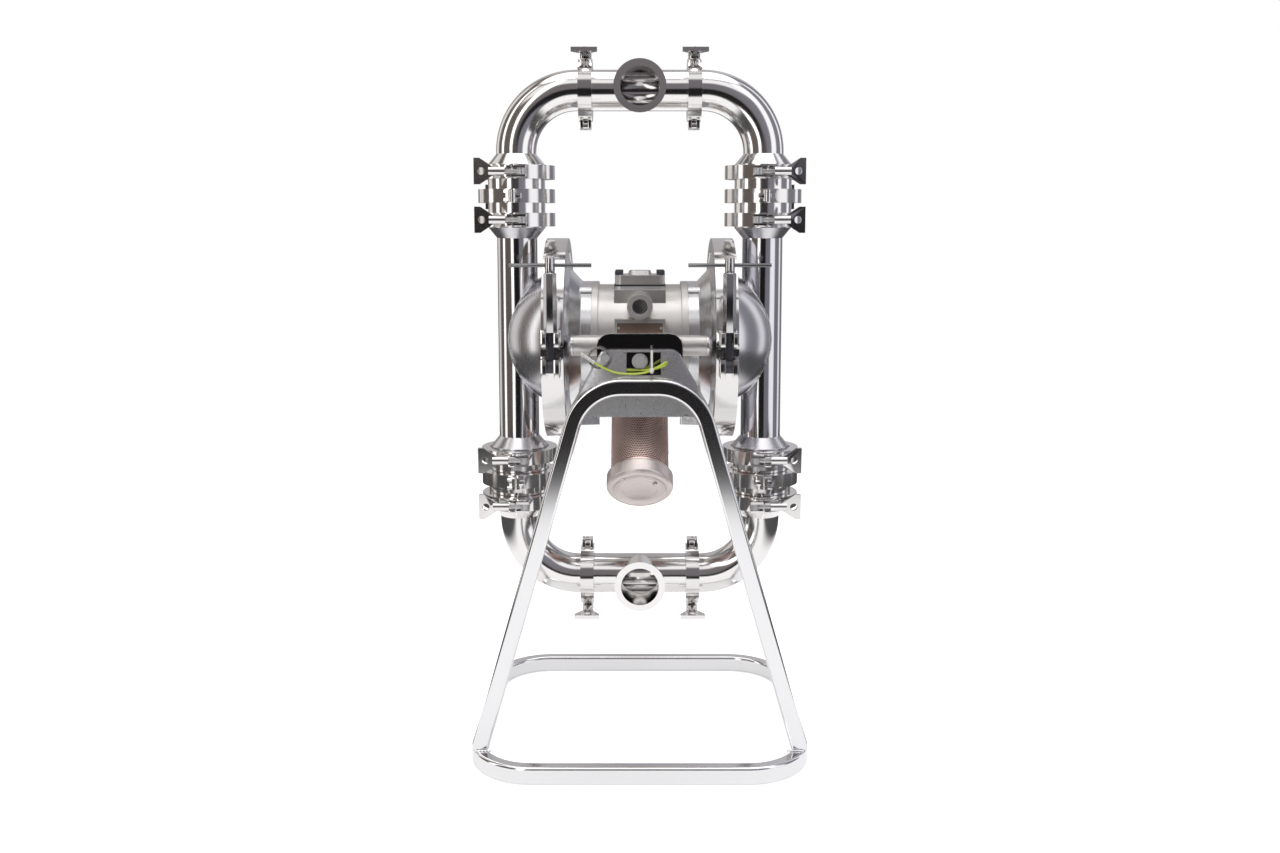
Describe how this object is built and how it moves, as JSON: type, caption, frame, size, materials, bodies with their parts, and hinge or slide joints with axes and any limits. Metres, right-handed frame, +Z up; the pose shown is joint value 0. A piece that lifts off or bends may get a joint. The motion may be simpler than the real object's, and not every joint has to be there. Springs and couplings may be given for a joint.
{
  "type": "air operated diaphragm pump",
  "caption": "Stainless double diaphragm pump with clamped sanitary manifolds, ball valve stacks, band-clamped chambers and exhaust muffler on a bent-bar stand.",
  "frame": {"origin": "on the ground, in the middle of the base loop", "axes": "+X along the diaphragm shaft, +Y to the rear, ports and air inlet face -Y, +Z up"},
  "size_m": [0.416, 0.375, 0.8755],
  "materials": {
    "polished_bar": "polished stainless bar",
    "saddle_steel": "satin sheet stainless",
    "mirror_tube": "mirror polished sanitary tube",
    "chamber_steel": "satin polished stainless",
    "cast_clamp": "polished stainless casting",
    "bolt_steel": "plain stainless",
    "center_cast": "bead blasted stainless casting",
    "dark_fastener": "black oxide",
    "gasket_rubber": "black elastomer",
    "white_gasket": "white fluoropolymer",
    "inner_steel": "machined stainless",
    "bearing_bronze": "bearing bronze",
    "muffler_bronze": "perforated sleeve with a copper tint",
    "muffler_cast": "matte pale casting",
    "earth_insulation": "green and yellow insulation",
    "lug_tin": "tinned lug"
  },
  "bodies": {
    "pump": {"air_valve_body": "center_cast", "air_valve_end_caps": "center_cast", "arch_gussets": "polished_bar", "ball_cages": "inner_steel", "band_clamp_bolts": "bolt_steel", "band_clamp_lower_left": "cast_clamp", "band_clamp_lower_right": "cast_clamp", "band_clamp_upper_left": "cast_clamp", "band_clamp_upper_right": "cast_clamp", "base_loop": "polished_bar", "center_section": "center_cast", "chamber_bolts": "bolt_steel", "clamp_bolt_halves": "cast_clamp", "clamp_gaskets": "white_gasket", "clamp_hinge_pins": "bolt_steel", "clamp_nut_halves": "cast_clamp", "clamp_swing_bolts": "bolt_steel", "clamp_wing_nuts": "cast_clamp", "diaphragm_left": "white_gasket", "diaphragm_right": "white_gasket", "earth_lug": "lug_tin", "earth_wire": "earth_insulation", "front_frame": "polished_bar", "front_saddle": "saddle_steel", "inlet_elbow_left": "mirror_tube", "inlet_elbow_right": "mirror_tube", "inlet_tee": "mirror_tube", "inner_chamber_left": "chamber_steel", "inner_chamber_right": "chamber_steel", "mount_bolts_and_washers": "bolt_steel", "muffler_cap": "muffler_cast", "muffler_nipple": "muffler_cast", "muffler_sleeve": "muffler_bronze", "nameplate": "center_cast", "outer_chamber_left": "chamber_steel", "outer_chamber_right": "chamber_steel", "outlet_elbow_left": "mirror_tube", "outlet_elbow_right": "mirror_tube", "outlet_tee": "mirror_tube", "pilot_cover": "center_cast", "pilot_cover_bolts": "dark_fastener", "pilot_cover_gasket": "gasket_rubber", "pilot_cover_plate": "center_cast", "rear_frame": "polished_bar", "rear_saddle": "saddle_steel", "shaft_bushings": "bearing_bronze", "shaft_seals": "gasket_rubber", "small_screws": "bolt_steel", "stack_spools": "mirror_tube", "valve_seats": "inner_steel"},
    "rod": {"diaphragm_shaft": "inner_steel", "inner_plates": "inner_steel", "outer_plates": "inner_steel"},
    "valve_spool": {"air_valve_spool": "inner_steel"},
    "left_t_nut": {"t_nut_left": "cast_clamp"},
    "right_t_nut": {"t_nut_right": "cast_clamp"},
    "outlet_ball_left": {"ball_outlet_left": "white_gasket"},
    "outlet_ball_right": {"ball_outlet_right": "white_gasket"},
    "inlet_ball_left": {"ball_inlet_left": "white_gasket"},
    "inlet_ball_right": {"ball_inlet_right": "white_gasket"}
  },
  "joints": [
    {"name": "rod_slide", "type": "slide", "parent": "pump", "child": "rod", "axis": [1, 0, 0], "range_m": [-0.012, 0.012], "deforming": ["diaphragm_left", "diaphragm_right"]},
    {"name": "spool_slide", "type": "slide", "parent": "pump", "child": "valve_spool", "axis": [1, 0, 0], "range_m": [-0.008, 0.008]},
    {"name": "outlet_ball_left_lift", "type": "slide", "parent": "pump", "child": "outlet_ball_left", "axis": [0, 0, 1], "range_m": [0, 0.01]},
    {"name": "outlet_ball_right_lift", "type": "slide", "parent": "pump", "child": "outlet_ball_right", "axis": [0, 0, 1], "range_m": [0, 0.01]},
    {"name": "inlet_ball_left_lift", "type": "slide", "parent": "pump", "child": "inlet_ball_left", "axis": [0, 0, 1], "range_m": [0, 0.01]},
    {"name": "inlet_ball_right_lift", "type": "slide", "parent": "pump", "child": "inlet_ball_right", "axis": [0, 0, 1], "range_m": [0, 0.01]},
    {"name": "t_nut_left_spin", "type": "hinge", "parent": "pump", "child": "left_t_nut", "pos_m": [-0.104, -0.1467, 0.573], "axis": [0, 0, 1], "continuous": true},
    {"name": "t_nut_right_spin", "type": "hinge", "parent": "pump", "child": "right_t_nut", "pos_m": [0.104, -0.1467, 0.573], "axis": [0, 0, 1], "continuous": true}
  ]
}
